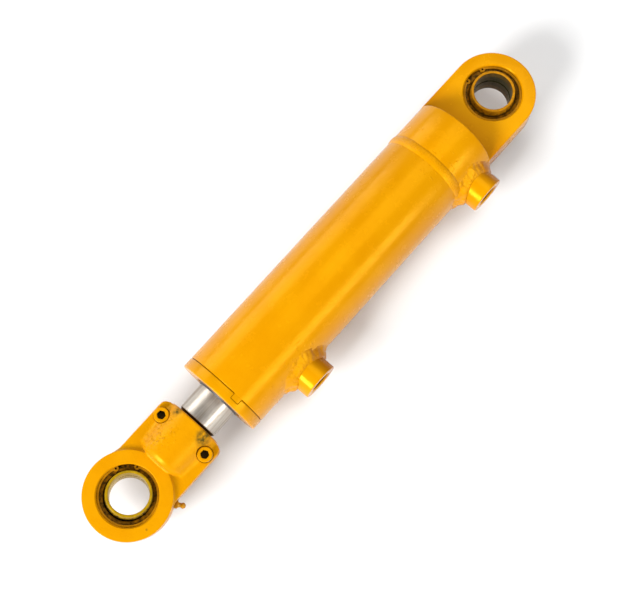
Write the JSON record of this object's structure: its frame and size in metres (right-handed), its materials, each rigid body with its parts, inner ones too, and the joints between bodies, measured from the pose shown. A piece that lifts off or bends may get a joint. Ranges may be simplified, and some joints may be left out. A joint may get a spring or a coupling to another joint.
{
  "type": "hydraulic cylinder",
  "caption": "Double-acting hydraulic cylinder: round welded barrel with side oil ports, chromed rod, and an eye with a spherical bearing at each end.",
  "frame": {"origin": "centre of the base eye, where its pin axis crosses the cylinder axis", "axes": "+X along the cylinder axis towards the rod eye (the way the rod extends), +Y the way the oil ports face, +Z along the base eye's pin axis"},
  "size_m": [0.6515, 0.1142, 0.095],
  "materials": {
    "paint_tube": "glossy orange-yellow enamel with orange peel",
    "paint_base": "glossy orange-yellow enamel over machined steel",
    "paint_ports": "glossy orange-yellow enamel with weld spatter",
    "paint_gland": "glossy orange-yellow enamel",
    "paint_casting": "glossy orange-yellow enamel over a rough casting",
    "paint_screws": "enamel over socket head screws, bare in the key",
    "chrome_rod": "hard chrome, ground",
    "machined_steel": "turned steel, oiled",
    "nut_steel": "zinc plated steel, dull",
    "bearing_outer": "phosphated bearing steel with overspray",
    "bearing_inner": "ground bearing steel with painted end faces",
    "circlip": "phosphated spring steel with overspray",
    "nipple": "brass, partly painted",
    "rubber": "matt nitrile rubber",
    "wiper": "matt polyurethane wiper",
    "polyurethane": "blue polyurethane",
    "ptfe": "filled PTFE",
    "guide_ring": "fabric-reinforced phenolic"
  },
  "bodies": {
    "barrel": {"cylinder_tube": "paint_tube", "base_end": "paint_base", "base_port_boss": "paint_ports", "head_port_boss": "paint_ports", "gland": "paint_gland", "gland_oring": "rubber", "gland_backup_ring": "ptfe", "gland_wear_ring_front": "guide_ring", "gland_wear_ring_rear": "guide_ring", "rod_seal": "polyurethane", "rod_wiper": "wiper", "base_bearing_outer_ring": "bearing_outer", "base_circlip_upper": "circlip", "base_circlip_lower": "circlip"},
    "base_ring": {"base_bearing_inner_ring": "bearing_inner"},
    "piston": {"piston": "machined_steel", "piston_seal": "ptfe", "piston_seal_energizer": "rubber", "piston_wear_ring_rear": "guide_ring", "piston_wear_ring_front": "guide_ring", "piston_rod_oring": "rubber"},
    "rod": {"piston_rod": "chrome_rod", "piston_nut": "nut_steel", "rod_eye": "paint_casting", "clamp_screw_left": "paint_screws", "clamp_screw_right": "paint_screws", "grease_nipple": "nipple", "rod_bearing_outer_ring": "bearing_outer", "rod_circlip_upper": "circlip", "rod_circlip_lower": "circlip"},
    "rod_ring": {"rod_bearing_inner_ring": "bearing_inner"}
  },
  "joints": [
    {"name": "base_bearing", "type": "hinge", "parent": "barrel", "child": "base_ring", "pos_m": [0, 0, 0], "axis": [0, 0, 1], "continuous": true},
    {"name": "rod_slide", "type": "slide", "parent": "barrel", "child": "piston", "axis": [1, 0, 0], "range_m": [0, 0.18]},
    {"name": "rod_turn", "type": "hinge", "parent": "piston", "child": "rod", "pos_m": [0.3, 0, 0], "axis": [1, 0, 0], "continuous": true},
    {"name": "rod_bearing", "type": "hinge", "parent": "rod", "child": "rod_ring", "pos_m": [0.561, 0, 0], "axis": [-0.1219, 0.0779, 0.9895], "continuous": true}
  ]
}
